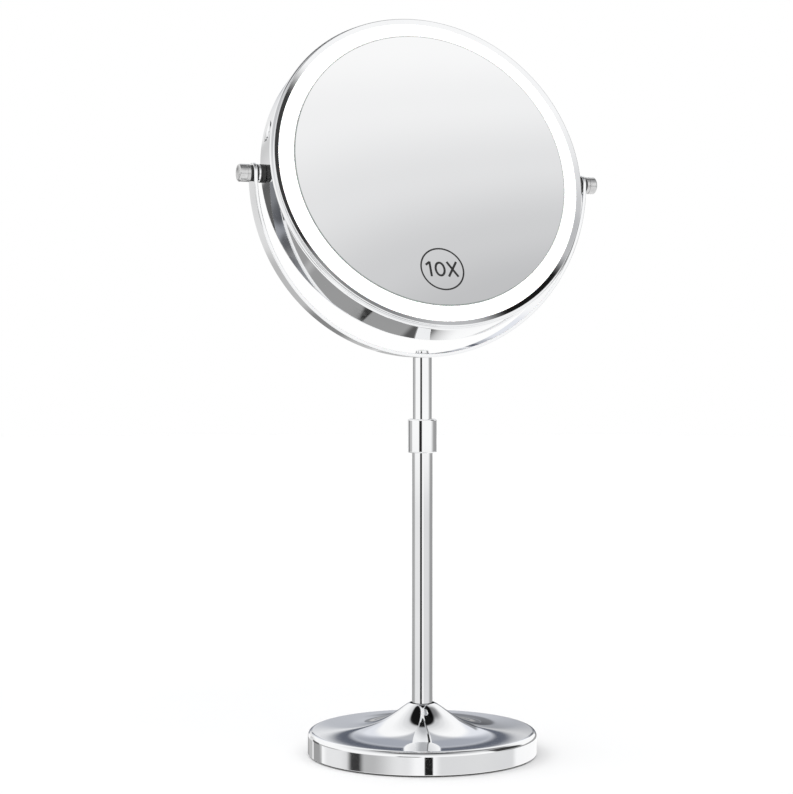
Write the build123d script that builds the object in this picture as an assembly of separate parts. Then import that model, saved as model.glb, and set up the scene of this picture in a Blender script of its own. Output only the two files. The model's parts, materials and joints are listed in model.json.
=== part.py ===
from build123d import *
import math
import os

# Two-sided lighted vanity mirror on a telescopic stand. Millimetres, +Z up.
# The origin is the centre of the foot pad's underside. The pivot axis lies along X, and the
# magnifying side faces -Y. Head pieces are drawn in the face frame (x right, y up, z out of the
# magnifying face, origin on the pivot axis) and placed by HEAD. Pieces on the pivot axis, the
# button and the socket are drawn with z as the distance from the head's centre.

# ---- driving dimensions ----------------------------------------------------------------------
pivot_height = 401.0
rest_tilt = 17.0
sliding_gap = 0.05
free_gap = 0.3
seat_gap = 0.1
glue_gap = 0.01

# base
base_radius = 80.0
base_rim_height = 16.5
base_lip_height = 35.5
base_lip_gap = 1.5
base_rim_round = 3.4
dome_steepness = 5.2
dome_shoulder = 1.3
dome_shares = (0.0, 0.04, 0.1, 0.18, 0.3, 0.5, 0.75, 1.0)
shell_wall = 1.2
skirt_clearance = 1.0
pad_thickness = 1.5
pad_margin = 4.0
pad_width = 18.0
plate_thickness = 1.2
weight_thickness = 8.0
weight_rim_width = 6.0
weight_boss_wall = 4.4
weight_boss_height = 27.0
base_screw_inset = 12.0
base_screw_count = 3
base_screw_diameter = 4.0
base_screw_length = 6.5
base_screw_head = 7.0
base_screw_head_height = 1.3
base_screw_hole_depth = 6.0

# stand tubes
outer_tube_diameter = 14.4
outer_tube_wall = 0.5
outer_tube_bottom = 14.0
tube_clearance = 0.1
bare_inner_tube = 55.0
inner_tube_wall = 0.5
inner_tube_bottom = 87.0
collar_wall = 1.6
collar_below = 11.5
collar_above = 12.0
collar_cap_wall = 1.5
collar_round = 1.0
liner_wall = 1.2
stem_bolt_diameter = 8.0
stem_bolt_head = 13.0
stem_bolt_head_height = 5.0
stem_bolt_washer = 17.0
stem_bolt_washer_thickness = 1.6
stem_bolt_short = 3.0
foot_plug_length = 20.0
spigot_neck_diameter = 8.0
spigot_flange_thickness = 3.0
slide_bush_length = 6.4
slide_bush_split = 0.8
spigot_plug_length = 14.0
top_plug_length = 16.0

# yoke
yoke_spacing = 6.5
yoke_thickness = 2.5
yoke_width = 14.0
yoke_edge_round = 0.6
yoke_bush_diameter = 8.0
yoke_screw_diameter = 5.0
yoke_screw_length = 14.0
yoke_screw_head_diameter = 9.0
yoke_screw_head_height = 2.0
yoke_washer_diameter = 10.0
yoke_washer_thickness = 0.6

# head shell
band_radius = 115.0
band_wall = 2.0
band_front_edge = 15.6
band_rear_edge = 8.5
band_front_round = 1.4
band_rear_round = 0.8
bezel_step = 1.6
bezel_wall = 2.0
bezel_lip_wall = 1.5
bezel_face = 3.8
bezel_front = 18.9
bezel_round = 1.2
bezel_lip_round = 0.4
rear_shallower = 6.4
spigot_depth = 2.5

# mirrors and light rings
ring_face = 10.3
mirror_front = 20.6
mirror_thickness = 3.0
mirror_focal_length = 278.0
mirror_edge_chamfer = 0.3
tape_thickness = 0.5
tape_width = 2.7
ring_gap = 0.5
ring_wall = 2.0
seat_width = 3.8
seat_thickness = 2.0
ring_outer_gap = 0.2
ring_outer_round = 0.5
ring_inner_round = 0.4

# chassis and electrics
chassis_thickness = 2.0
chassis_rim_wall = 2.6
support_wall_step = 0.2
support_wall = 2.0
led_board_overlap = 1.5
led_board_gap = 0.6
led_board_thickness = 1.0
led_board_seat = 11.0
led_count = 36
led_inset = 5.7
led_size = (2.8, 3.5, 0.8)
led_screw_inset = 2.0
led_screw_length = 4.0
led_post_radius = 1.9
chassis_gap = 0.4
chassis_rim_gap = 0.2
led_screw_angles = (45, 135, 225, 315)
board_screw_diameter = 2.0
board_screw_head = 3.4
board_screw_head_height = 1.0
control_board_size = (40.0, 28.0, 1.6)
control_board_place = (0.0, 34.0)
control_board_standoff = 3.0
control_board_corner = 3.0
standoff_radius = 2.5
board_screw_length = 4.0
chip_size = (7.0, 7.0, 1.5)
chip_place = (-6.0, 0.0)
coil_radius = 3.0
coil_height = 3.0
coil_place = (7.0, 2.0)
battery_size = (52.0, 34.0, 6.0)
battery_place = (0.0, -34.0)
battery_round = 2.0
strap_width = 10.0
strap_thickness = 0.8
strap_screw_offset = 6.0
strap_foot_end = 4.0
lead_diameter = 1.4
lead_bend = 3.0
lead_hole_place = (6.0, 73.0)
lead_hole_radius = 3.0
switch_lead_level = -2.05

# power button and charging socket
button_angle = 15.0
button_offset = 3.5
button_diameter = 14.0
button_proud = 0.5
button_dome = 0.7
button_travel = 0.8
button_flange = 1.1
button_flange_thickness = 1.0
switch_size = 6.0
switch_height = 3.5
plunger_diameter = 3.4
plunger_root = 1.0
plunger_reach = 1.2
button_post_radius = 1.6
button_flange_gap = 0.1
switch_board_size = 13.0
switch_board_thickness = 1.2
switch_seat_depth = 0.3
switch_room_gap = 0.1
socket_angle = 15.0
socket_width = 9.2
socket_height = 3.4
socket_wall = 0.35
socket_depth = 7.6
socket_tongue = 0.7
socket_tongue_margin = 1.4
socket_tongue_short = 1.2
socket_floor = 1.0
charge_board_size = (14.0, 8.0, 1.0)

# pivots
stud_diameter = 5.0
stud_depth = 11.0
stud_reach = 7.0
boss_length = 12.5
boss_width = 14.0
boss_depth = 9.0
ear_inset = 0.5
ear_reach = 6.0
ear_length = 5.0
ear_thickness = 3.0
boss_screw_diameter = 2.6
boss_screw_head = 4.4
boss_screw_head_height = 1.5
boss_screw_length = 6.0
washer_diameter = 12.5
spacer_thickness = 2.5
rubber_washer_thickness = 1.2
steel_washer_thickness = 1.4
knob_washer_diameter = 11.0
knob_washer_thickness = 1.5
knob_diameter = 12.0
knob_length = 7.9
knob_ring_length = 2.1
knob_groove_width = 0.4
knob_groove_depth = 0.35
knob_end_round = 1.2

# ---- worked-out sizes -------------------------------------------------------------------------
HEAD = Pos(0, 0, pivot_height) * Rot(90 - rest_tilt, 0, 0)
BACK = Rot(0, 180, 0)
REAR = BACK * Pos(0, 0, -rear_shallower)
RIGHT = Rot(0, 90, 0)
LEFT = Rot(0, -90, 0)
BUTTON = Pos(0, 0, button_offset) * Rot(0, 0, 180 - button_angle) * RIGHT
SOCKET = Rot(0, 0, socket_angle) * RIGHT

pad_outer_radius = base_radius - pad_margin
pad_inner_radius = pad_outer_radius - pad_width
base_screw_circle = pad_inner_radius - base_screw_inset
base_lip_radius = outer_tube_diameter / 2 + base_lip_gap
weight_boss_radius = outer_tube_diameter / 2 + weight_boss_wall
plate_bottom = pad_thickness
weight_bottom = plate_bottom + plate_thickness
outer_tube_bore = outer_tube_diameter / 2 - outer_tube_wall
inner_tube_diameter = 2 * (outer_tube_bore - tube_clearance)
inner_tube_bore = inner_tube_diameter / 2 - inner_tube_wall
yoke_bore = band_radius + yoke_spacing
yoke_radius = yoke_bore + yoke_thickness
yoke_underside = pivot_height - yoke_radius
outer_tube_top = yoke_underside - bare_inner_tube
collar_bottom = outer_tube_top - collar_below
collar_top = outer_tube_top + collar_above
band_bore = band_radius - band_wall
spigot_radius = band_bore - seat_gap
bezel_radius = band_radius - bezel_step
bezel_bore = bezel_radius - bezel_wall
bezel_lip_radius = bezel_radius - bezel_face
mirror_radius = bezel_lip_radius - ring_face
support_wall_radius = mirror_radius + support_wall_step
led_board_inner = mirror_radius - led_board_overlap
led_board_outer = bezel_lip_radius - led_board_gap
led_circle = led_board_inner + led_inset
led_screw_circle = led_board_outer - led_screw_inset
half_chassis = chassis_thickness / 2
stud_radius = stud_diameter / 2
stud_bore = stud_radius + sliding_gap
stud_inner_end = band_radius - stud_depth
stud_outer_end = yoke_radius + stud_reach
boss_inner_face = band_radius - boss_length
led_board_top = led_board_seat + led_board_thickness
rear_board_seat = led_board_seat - rear_shallower
mirror_curve = 2 * mirror_focal_length
tape_inner = mirror_radius - tape_width - free_gap
pivot_face = math.sqrt(yoke_bore**2 - (washer_diameter / 2) ** 2) - sliding_gap
band_contact = band_radius + sliding_gap
knob_washer_face = yoke_radius + sliding_gap
knob_face = knob_washer_face + knob_washer_thickness
stem_washer_seat = weight_bottom + stem_bolt_head_height + stem_bolt_washer_thickness + free_gap
liner_radius = outer_tube_diameter / 2 + liner_wall
yoke_washer_seat = pivot_height - math.sqrt(yoke_bore**2 - (yoke_washer_diameter / 2) ** 2)
button_flange_radius = button_diameter / 2 + button_flange
socket_lift = socket_height / 2 - half_chassis
switch_seat = support_wall_radius - switch_seat_depth
switch_base = switch_seat + switch_board_thickness
switch_top = switch_base + switch_height
socket_inner = band_bore - socket_depth
ear_face = boss_inner_face + ear_inset
ear_middle = ear_face + ear_length / 2
ear_screw_offset = boss_width / 2 + ear_reach / 2
strap_screw_places = (
    battery_place[0] - battery_size[0] / 2 - strap_screw_offset,
    battery_place[0] + battery_size[0] / 2 + strap_screw_offset,
)
plunger_bottom = switch_top - plunger_root
plunger_top = switch_top + button_travel + plunger_reach
lead_level = -half_chassis - control_board_standoff - control_board_size[2] - lead_diameter / 2 - seat_gap
socket_lead_level = -half_chassis - charge_board_size[2] - lead_diameter / 2 - seat_gap

UP = (Align.CENTER, Align.CENTER, Align.MIN)


def disc(radius, low, high):
    """Cylinder about Z between two heights."""
    return Pos(0, 0, low) * Cylinder(radius, high - low, align=UP)


def ring(inner, outer, low, high):
    """Flat or tubular ring about Z between two heights."""
    return disc(outer, low, high) - disc(inner, low, high)


def block(x_range, y_range, z_range):
    """Box between two limits on each axis."""
    sizes = [high - low for low, high in (x_range, y_range, z_range)]
    centre = [(high + low) / 2 for low, high in (x_range, y_range, z_range)]
    return Pos(*centre) * Box(*sizes)


def turned(*corners):
    """Solid of revolution about Z. A corner is (radius, height) or (radius, height, rounding)."""
    outline = make_face(Polyline(*[corner[:2] for corner in corners], close=True))
    for corner in corners:
        if len(corner) == 3:
            vertex = outline.vertices().sort_by_distance(Vector(*corner[:2]))[0]
            outline = fillet(vertex, corner[2])
    return revolve(Plane.XZ * outline, Axis.Z)


def around(shape, angles):
    """Copies of a shape turned about Z."""
    return [Rot(0, 0, angle) * shape for angle in angles]


def evenly(count, start=0.0):
    return [start + 360 * index / count for index in range(count)]


def screw(diameter, length, head_diameter, head_height):
    """Pan-head screw on Z, with its head's underside at 0 and its shank below."""
    head = turned(
        (0, 0),
        (head_diameter / 2, 0),
        (head_diameter / 2, head_height, head_height / 2),
        (0, head_height),
    )
    recess_width = head_diameter / 8
    recess = Box(head_diameter / 2, recess_width, head_height) + Box(
        recess_width, head_diameter / 2, head_height
    )
    return head + disc(diameter / 2, -length, 0) - Pos(0, 0, head_height) * recess


def group(shapes):
    """One node of separate solids."""
    return Compound([solid for shape in shapes for solid in shape.solids()])


# ---- base -------------------------------------------------------------------------------------
def dome_point(share, inset):
    """Point on the base's top profile, share 0 at the lip and 1 at the rim, moved in by inset."""
    run = base_radius - base_rim_round - base_lip_radius
    rise = base_lip_height - base_rim_height
    radius = base_lip_radius + share * run
    height = base_rim_height + rise * math.exp(-dome_steepness * share**dome_shoulder)
    return (radius, height - inset)


def dome(inset):
    """Solid under the base's top surface, as far down as the skirt, drawn in by the wall."""
    top = Spline(*[dome_point(share, inset) for share in dome_shares])
    end = dome_point(1.0, inset)
    side = base_radius - inset
    corner = ThreePointArc(
        end,
        (
            end[0] + (side - end[0]) * math.sin(math.radians(45)),
            end[1] - (side - end[0]) * (1 - math.cos(math.radians(45))),
        ),
        (side, end[1] - (side - end[0])),
    )
    rest = Polyline(
        (side, end[1] - (side - end[0])),
        (side, skirt_clearance),
        (0, skirt_clearance),
        (0, dome_point(0, inset)[1]),
        dome_point(0, inset),
    )
    return revolve(Plane.XZ * make_face(top + corner + rest), Axis.Z)


def base_shell():
    bore = disc(base_lip_radius, 0, base_lip_height + 1)
    return dome(0) - dome(shell_wall) - bore


def base_weight():
    top = weight_bottom + weight_thickness
    rim_top = base_rim_height - shell_wall - free_gap
    rim_outer = pad_outer_radius
    body = turned(
        (0, weight_bottom),
        (rim_outer, weight_bottom),
        (rim_outer, rim_top, 1.0),
        (rim_outer - weight_rim_width, rim_top),
        (rim_outer - weight_rim_width, top),
        (weight_boss_radius, top),
        (weight_boss_radius, weight_boss_height, 1.0),
        (0, weight_boss_height),
    )
    socket = disc(outer_tube_diameter / 2 + sliding_gap, outer_tube_bottom, weight_boss_height)
    shank_hole = disc(stem_bolt_diameter / 2 + free_gap, weight_bottom, outer_tube_bottom)
    pocket = disc(stem_bolt_washer / 2 + 1, weight_bottom, stem_washer_seat)
    screw_hole = disc(base_screw_diameter / 2, weight_bottom, weight_bottom + base_screw_hole_depth)
    screw_hole = Pos(base_screw_circle, 0, 0) * screw_hole
    holes = around(screw_hole, evenly(base_screw_count, 90))
    return body - socket - shank_hole - pocket - holes


def base_plate():
    plate = disc(base_radius - shell_wall - free_gap, plate_bottom, weight_bottom)
    hole = disc(base_screw_diameter / 2 + seat_gap, plate_bottom, weight_bottom)
    hole = Pos(base_screw_circle, 0, 0) * hole
    return plate - around(hole, evenly(base_screw_count, 90))


def foot_pad():
    return ring(pad_inner_radius, pad_outer_radius, 0, pad_thickness)


def base_screws():
    one = screw(base_screw_diameter, base_screw_length, base_screw_head, base_screw_head_height)
    one = Pos(base_screw_circle, 0, plate_bottom) * Rot(180, 0, 0) * one
    return group(around(one, evenly(base_screw_count, 90)))


def stem_bolt():
    head_top = stem_washer_seat - stem_bolt_washer_thickness
    hexagon = extrude(RegularPolygon(stem_bolt_head / 2, 6, major_radius=False), stem_bolt_head_height)
    shank_top = outer_tube_bottom + foot_plug_length - stem_bolt_short
    return Pos(0, 0, head_top - stem_bolt_head_height) * hexagon + disc(
        stem_bolt_diameter / 2, head_top, shank_top
    )


def stem_washer():
    bore = stem_bolt_diameter / 2 + seat_gap
    return ring(
        bore, stem_bolt_washer / 2, stem_washer_seat - stem_bolt_washer_thickness, stem_washer_seat
    )


def foot_plug():
    """Threaded plug in the outer tube's foot."""
    return ring(
        stem_bolt_diameter / 2, outer_tube_bore, outer_tube_bottom, outer_tube_bottom + foot_plug_length
    )


# ---- stand ------------------------------------------------------------------------------------
def outer_tube():
    return ring(outer_tube_bore, outer_tube_diameter / 2, outer_tube_bottom, outer_tube_top)


def height_collar():
    outer = liner_radius + collar_wall
    body = turned(
        (0, collar_bottom),
        (outer, collar_bottom, collar_round),
        (outer, collar_top, collar_round),
        (0, collar_top),
    )
    tube_bore = disc(outer_tube_diameter / 2 + sliding_gap, collar_bottom, outer_tube_top)
    chamber = disc(liner_radius, outer_tube_top, collar_top - collar_cap_wall)
    mouth = disc(inner_tube_diameter / 2 + free_gap, collar_top - collar_cap_wall, collar_top)
    return body - tube_bore - chamber - mouth


def collar_liner():
    """Nylon ring in the collar that grips the inner tube."""
    return ring(
        inner_tube_diameter / 2 + sliding_gap,
        liner_radius,
        outer_tube_top,
        collar_top - collar_cap_wall,
    )


def inner_tube():
    return ring(inner_tube_bore, inner_tube_diameter / 2, inner_tube_bottom, yoke_underside)


def tube_spigot():
    """Plug in the inner tube's foot, with a neck and flange that carry the slide bush."""
    neck_bottom = inner_tube_bottom - slide_bush_length - 2 * seat_gap
    return turned(
        (0, neck_bottom - spigot_flange_thickness),
        (inner_tube_bore, neck_bottom - spigot_flange_thickness, 0.8),
        (inner_tube_bore, neck_bottom),
        (spigot_neck_diameter / 2, neck_bottom),
        (spigot_neck_diameter / 2, inner_tube_bottom),
        (inner_tube_bore, inner_tube_bottom),
        (inner_tube_bore, inner_tube_bottom + spigot_plug_length),
        (0, inner_tube_bottom + spigot_plug_length),
    )


def slide_bush():
    """Split nylon ring on the spigot's neck, running in the outer tube."""
    low = inner_tube_bottom - slide_bush_length - seat_gap
    bush = ring(
        spigot_neck_diameter / 2 + sliding_gap,
        outer_tube_bore - sliding_gap,
        low,
        low + slide_bush_length,
    )
    half_split = slide_bush_split / 2
    split = block((0, outer_tube_bore), (-half_split, half_split), (low - 1, low + slide_bush_length + 1))
    return bush - split


def top_plug():
    """Threaded plug in the inner tube's top."""
    return ring(
        yoke_screw_diameter / 2, inner_tube_bore, yoke_underside - top_plug_length, yoke_underside
    )


# ---- yoke -------------------------------------------------------------------------------------
def yoke():
    middle = yoke_radius - yoke_thickness / 2
    section = Pos(middle, 0) * RectangleRounded(yoke_thickness, yoke_width, yoke_edge_round)
    arc = revolve(section, Axis.Y, 180)
    eye_blank = Cylinder(yoke_width / 2, 4 * yoke_thickness)
    arms = []
    for side, place in ((1, RIGHT), (-1, LEFT)):
        arm = extrude(Pos((side - 1) * middle, 0) * section, yoke_width / 2)
        arms.append(arm & (place * Pos(0, 0, middle) * eye_blank))
    eye = Cylinder(yoke_bush_diameter / 2, 4 * yoke_thickness)
    eyes = [place * Pos(0, 0, middle) * eye for place in (RIGHT, LEFT)]
    screw_hole = Pos(0, 0, -middle) * Cylinder(yoke_screw_diameter / 2 + seat_gap, 4 * yoke_thickness)
    return Pos(0, 0, pivot_height) * (arc + arms - eyes - screw_hole)


def yoke_bush(side):
    bush = ring(stud_bore, yoke_bush_diameter / 2, yoke_bore, yoke_radius)
    return Pos(0, 0, pivot_height) * side * bush


def yoke_washer():
    bore = yoke_screw_diameter / 2 + seat_gap
    return ring(
        bore, yoke_washer_diameter / 2, yoke_washer_seat, yoke_washer_seat + yoke_washer_thickness
    )


def yoke_screw():
    return Pos(0, 0, yoke_washer_seat + yoke_washer_thickness) * screw(
        yoke_screw_diameter, yoke_screw_length, yoke_screw_head_diameter, yoke_screw_head_height
    )


# ---- head shell -------------------------------------------------------------------------------
def band():
    body = turned(
        (band_bore, -band_rear_edge),
        (band_radius, -band_rear_edge, band_rear_round),
        (band_radius, band_front_edge, band_front_round),
        (band_bore, band_front_edge),
    )
    stud_hole = disc(stud_radius + seat_gap, band_bore - 5, band_radius + 5)
    button_hole = disc(button_diameter / 2 + free_gap, band_bore - 5, band_radius + 5)
    slot = extrude(
        RectangleRounded(socket_height + 2 * free_gap, socket_width + 2 * free_gap, socket_height / 2),
        20,
    )
    slot = Pos(-socket_lift, 0, band_bore - 5) * slot
    return body - RIGHT * stud_hole - LEFT * stud_hole - BUTTON * button_hole - SOCKET * slot


def bezel(edge, front, place):
    """Bezel from the band's edge to its lip. Its spigot is cut clear of the button's flange."""
    body = turned(
        (bezel_bore, edge - spigot_depth),
        (spigot_radius, edge - spigot_depth),
        (spigot_radius, edge),
        (bezel_radius, edge),
        (bezel_radius, front, bezel_round),
        (bezel_lip_radius, front, bezel_lip_round),
        (bezel_lip_radius, front - bezel_lip_wall),
        (bezel_bore, front - bezel_lip_wall),
    )
    clear = disc(button_flange_radius + free_gap, band_bore - 6, band_bore)
    return place * body - BUTTON * clear


# ---- mirrors and light rings ------------------------------------------------------------------
def drop(radius, curve):
    """How far a concave glass lies below its own edge at a radius; a flat glass has no curve."""
    if curve is None:
        return 0.0
    return math.sqrt(curve**2 - radius**2) - math.sqrt(curve**2 - mirror_radius**2)


def mirror_glass(curve):
    """Mirror glass facing +Z, flat or concave, of even thickness."""
    back = mirror_front - mirror_thickness
    edge = mirror_radius - mirror_edge_chamfer
    if curve is None:
        return turned(
            (0, back),
            (mirror_radius, back),
            (mirror_radius, mirror_front - mirror_edge_chamfer),
            (edge, mirror_front),
            (0, mirror_front),
        )
    front_arc = ThreePointArc(
        (0, mirror_front - drop(0, curve)),
        (edge / 2, mirror_front - drop(edge / 2, curve)),
        (edge, mirror_front - drop(edge, curve)),
    )
    back_arc = ThreePointArc(
        (mirror_radius, back),
        (mirror_radius / 2, back - drop(mirror_radius / 2, curve)),
        (0, back - drop(0, curve)),
    )
    side = Polyline(
        (edge, mirror_front - drop(edge, curve)),
        (mirror_radius, mirror_front - mirror_edge_chamfer),
        (mirror_radius, back),
    )
    axis_line = Line((0, back - drop(0, curve)), (0, mirror_front - drop(0, curve)))
    return revolve(Plane.XZ * make_face(front_arc + side + back_arc + axis_line), Axis.Z)


def tape(curve):
    """Adhesive ring between a glass and its seat, below the glass by the drop at its inner edge."""
    outer = tape_inner + tape_width
    back = mirror_front - mirror_thickness - glue_gap
    return turned(
        (tape_inner, back - drop(tape_inner, curve) - tape_thickness),
        (outer, back - drop(outer, curve) - tape_thickness),
        (outer, back - drop(outer, curve)),
        (tape_inner, back - drop(tape_inner, curve)),
    )


def light_ring(curve):
    """Frosted ring around a glass, with the glass's seat inside it and a skirt to the board."""
    inner = mirror_radius + ring_gap
    outer = bezel_lip_radius - ring_outer_gap
    flange = bezel_bore - free_gap
    flange_top = bezel_front - bezel_lip_wall - seat_gap
    flange_bottom = flange_top - ring_wall
    seat_inner = inner - seat_width
    seat_edge = mirror_front - mirror_thickness - tape_thickness - seat_gap - drop(inner, curve)
    seat_back = mirror_front - mirror_thickness - tape_thickness - seat_gap - drop(seat_inner, curve)
    slope = (mirror_front - bezel_front) / (outer - inner)
    return turned(
        (flange, flange_bottom),
        (flange, flange_top),
        (outer, flange_top),
        (outer, bezel_front, ring_outer_round),
        (inner, mirror_front, ring_inner_round),
        (inner, seat_edge),
        (seat_inner, seat_back),
        (seat_inner, seat_back - seat_thickness),
        (inner, seat_back - seat_thickness),
        (inner, led_board_top + seat_gap),
        (inner + ring_wall, led_board_top + seat_gap),
        (inner + ring_wall, mirror_front - slope * ring_wall - ring_wall),
        (outer - ring_wall, bezel_front + slope * ring_wall - ring_wall),
        (outer - ring_wall, flange_bottom),
    )


# ---- chassis and electrics --------------------------------------------------------------------
def at_board_corners(shape):
    """Copies of a shape at the control board's four screws."""
    x_board, y_board = control_board_place
    x_reach = control_board_size[0] / 2 - control_board_corner
    y_reach = control_board_size[1] / 2 - control_board_corner
    return [
        Pos(x_board + x_sign * x_reach, y_board + y_sign * y_reach, 0) * shape
        for x_sign in (-1, 1)
        for y_sign in (-1, 1)
    ]


def chassis():
    outer = band_bore - chassis_gap
    rim_low = -(band_rear_edge - spigot_depth - chassis_rim_gap)
    rim_high = band_front_edge - spigot_depth - chassis_rim_gap
    plate = disc(outer, -half_chassis, half_chassis)
    rim = ring(outer - chassis_rim_wall, outer, rim_low, rim_high)
    wall = ring(support_wall_radius - support_wall, support_wall_radius, -rear_board_seat, led_board_seat)
    post = Pos(led_screw_circle, 0, 0) * disc(led_post_radius, -rear_board_seat, led_board_seat)
    posts = around(post, led_screw_angles)
    body = plate + rim + wall + posts
    standoff = disc(standoff_radius, -half_chassis - control_board_standoff, -half_chassis)
    body += at_board_corners(standoff)
    boss_room = block(
        (boss_inner_face - free_gap, outer + 1),
        (-boss_width / 2 - free_gap, boss_width / 2 + free_gap),
        (-band_rear_edge, band_front_edge),
    )
    switch_room = block(
        (-switch_board_size / 2 - switch_room_gap, switch_board_size / 2 + switch_room_gap),
        (-switch_board_size / 2 - switch_room_gap, switch_board_size / 2 + switch_room_gap),
        (switch_seat, outer + 1),
    )
    flange_room = disc(button_flange_radius + free_gap, switch_top, outer + 1)
    socket_room = block(
        (-band_front_edge, band_rear_edge),
        (-socket_width / 2 - free_gap, socket_width / 2 + free_gap),
        (socket_inner - free_gap, outer + 1),
    )
    boss_holes = [
        Pos(side * ear_middle, y_sign * ear_screw_offset, 0) * Cylinder(boss_screw_diameter / 2, 10)
        for side in (-1, 1)
        for y_sign in (-1, 1)
    ]
    led_hole = Pos(led_screw_circle, 0, 0) * Cylinder(board_screw_diameter / 2, 4 * led_board_seat)
    small_hole = Pos(0, 0, -half_chassis) * Cylinder(board_screw_diameter / 2, 2 * control_board_standoff)
    strap_holes = [
        Pos(x, battery_place[1], 0) * Cylinder(board_screw_diameter / 2, 10) for x in strap_screw_places
    ]
    lead_holes = [Pos(*lead_hole_place, 0) * Cylinder(lead_hole_radius, 4 * chassis_thickness)]
    wall_hole = disc(lead_diameter / 2 + free_gap, support_wall_radius - 6, support_wall_radius + 1)
    lead_holes.append(Pos(0, 0, switch_lead_level) * Rot(0, 0, 180 - button_angle) * RIGHT * wall_hole)
    lead_holes.append(Pos(0, 0, socket_lead_level) * Rot(0, 0, socket_angle) * RIGHT * wall_hole)
    rooms = [
        boss_room,
        Rot(0, 0, 180) * boss_room,
        BUTTON * switch_room,
        BUTTON * flange_room,
        SOCKET * socket_room,
    ]
    screw_holes = boss_holes + around(led_hole, led_screw_angles) + at_board_corners(small_hole) + strap_holes
    for cut in rooms + screw_holes + lead_holes:
        body -= cut
    return body


def led_board():
    board = ring(led_board_inner, led_board_outer, led_board_seat, led_board_top)
    hole = disc(board_screw_diameter / 2 + seat_gap, led_board_seat, led_board_top)
    hole = Pos(led_screw_circle, 0, 0) * hole
    return board - around(hole, led_screw_angles)


def leds():
    chip = Pos(led_circle, 0, led_board_top) * Box(*led_size, align=UP)
    return group(around(chip, evenly(led_count, 5)))


def control_board():
    x_board, y_board = control_board_place
    x_size, y_size, thickness = control_board_size
    top = -half_chassis - control_board_standoff
    plate = Pos(x_board, y_board, top - thickness / 2) * Box(x_size, y_size, thickness)
    plate -= at_board_corners(Pos(0, 0, top) * Cylinder(board_screw_diameter / 2 + seat_gap, 4 * thickness))
    low = top - thickness
    chip = Pos(x_board + chip_place[0], y_board + chip_place[1], low - chip_size[2] / 2) * Box(*chip_size)
    coil = Pos(x_board + coil_place[0], y_board + coil_place[1], 0) * disc(coil_radius, low - coil_height, low)
    return group([plate, chip, coil])


def board_screws():
    low = -half_chassis - control_board_standoff - control_board_size[2]
    small = screw(board_screw_diameter, board_screw_length, board_screw_head, board_screw_head_height)
    screws = at_board_corners(Pos(0, 0, low) * Rot(180, 0, 0) * small)
    shank = strap_thickness + chassis_thickness
    strap_screw = screw(board_screw_diameter, shank, board_screw_head, board_screw_head_height)
    strap_face = -half_chassis - strap_thickness
    for x in strap_screw_places:
        screws.append(Pos(x, battery_place[1], strap_face) * Rot(180, 0, 0) * strap_screw)
    return group(screws)


def led_screws():
    one = Pos(led_screw_circle, 0, led_board_top) * screw(
        board_screw_diameter, led_screw_length, board_screw_head, board_screw_head_height
    )
    front = around(one, led_screw_angles)
    return group(front + [REAR * solid for solid in front])


def battery():
    x_size, y_size, thickness = battery_size
    cell = Box(x_size, y_size, thickness)
    cell = fillet(cell.edges().filter_by(Axis.X), battery_round)
    return Pos(*battery_place, -half_chassis - seat_gap - thickness / 2) * cell


def lead(points):
    """Insulated wire along straight runs with an arc at each corner."""
    path = FilletPolyline(*points, radius=lead_bend)
    section = Plane(path @ 0, z_dir=path % 0) * Circle(lead_diameter / 2)
    return sweep(section, path)


def polar(radius, angle, height):
    return (radius * math.cos(math.radians(angle)), radius * math.sin(math.radians(angle)), height)


def leads():
    """Battery pair, switch lead, socket lead and one lead for each board of lights."""
    x_board, y_board = control_board_place
    x_size, y_size, _ = control_board_size
    cell_top = battery_place[1] + battery_size[1] / 2
    cell_level = -half_chassis - seat_gap - battery_size[2] / 2
    routes = [
        (
            (x, cell_top, cell_level),
            (x, cell_top + 12, cell_level),
            (x, y_board - y_size / 2 - 8, lead_level),
            (x, y_board - y_size / 2 + 5, lead_level),
        )
        for x in (-4, 4)
    ]
    routes.append(
        (
            polar(switch_seat - glue_gap, 180 - button_angle, switch_lead_level),
            polar(support_wall_radius - 13, 180 - button_angle, switch_lead_level),
            (x_board - x_size / 2 - 20, y_board, lead_level),
            (x_board - x_size / 2 + 5, y_board, lead_level),
        )
    )
    routes.append(
        (
            polar(support_wall_radius + 3, socket_angle, socket_lead_level),
            polar(support_wall_radius - 12, socket_angle, socket_lead_level),
            (x_board + x_size / 2 + 20, y_board, lead_level),
            (x_board + x_size / 2 - 6, y_board, lead_level),
        )
    )
    pad_level = led_board_top + lead_diameter / 2 + seat_gap
    board_edge = y_board + y_size / 2
    routes.append(
        (
            (0, led_board_inner + 1, rear_shallower - pad_level),
            (0, led_board_inner - 8, rear_shallower - pad_level),
            (-12, board_edge + 20, lead_level),
            (-12, board_edge - 4, lead_level),
        )
    )
    routes.append(
        (
            (lead_hole_place[0], led_board_inner + 0.8, pad_level),
            (lead_hole_place[0], led_board_inner - 8, pad_level),
            (lead_hole_place[0], lead_hole_place[1] + 2, half_chassis + 4),
            (lead_hole_place[0], lead_hole_place[1] - 1, -half_chassis - 2),
            (lead_hole_place[0], board_edge + 14, lead_level),
            (lead_hole_place[0], board_edge - 4, lead_level),
        )
    )
    return group([lead(points) for points in routes])


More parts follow.
